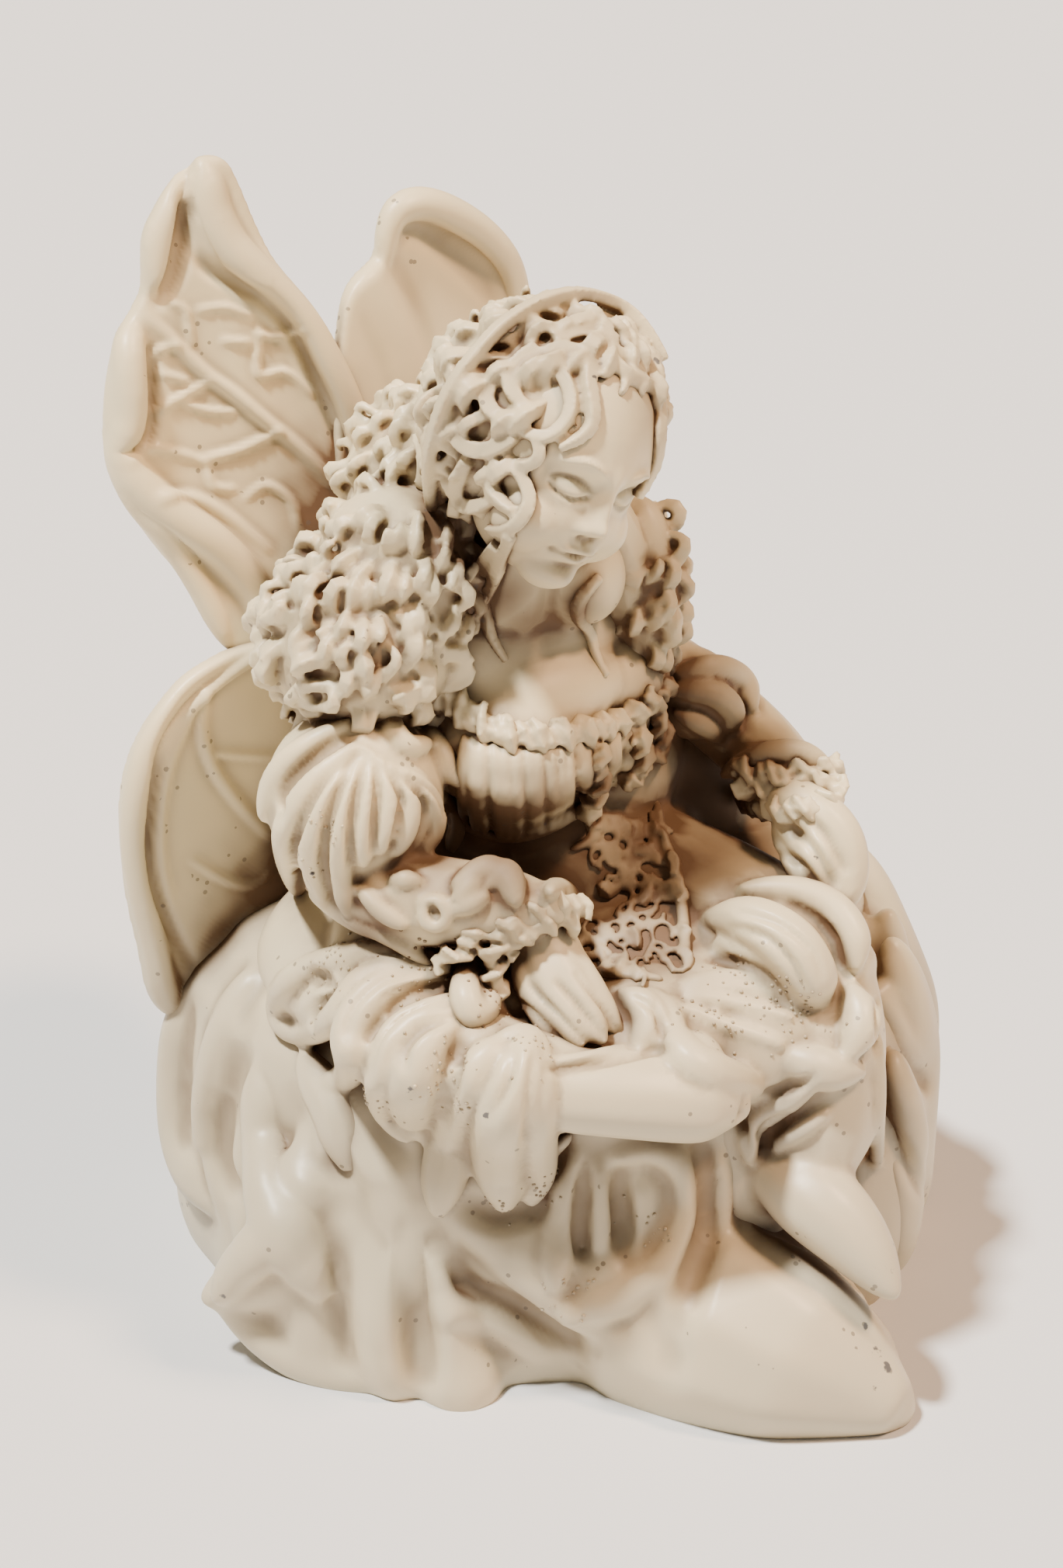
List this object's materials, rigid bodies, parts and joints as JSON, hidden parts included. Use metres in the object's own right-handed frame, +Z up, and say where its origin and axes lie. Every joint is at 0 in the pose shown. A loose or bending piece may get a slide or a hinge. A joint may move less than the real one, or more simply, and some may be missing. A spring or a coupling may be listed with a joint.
{
  "type": "seated angel figurine",
  "caption": "Ivory resin angel seated on a draped mound, with curled hair, a gathered gown and leaf-like wings.",
  "frame": {"origin": "on the floor under the middle of the mound", "axes": "+Z up, the figure faces -Y, its own left is +X and its wings are at +Y"},
  "size_m": [0.0983, 0.1042, 0.1379],
  "materials": {
    "resin": "satin cast resin with a warm brown wash in the recesses"
  },
  "bodies": {
    "root": {"figurine": "resin"}
  },
  "joints": []
}
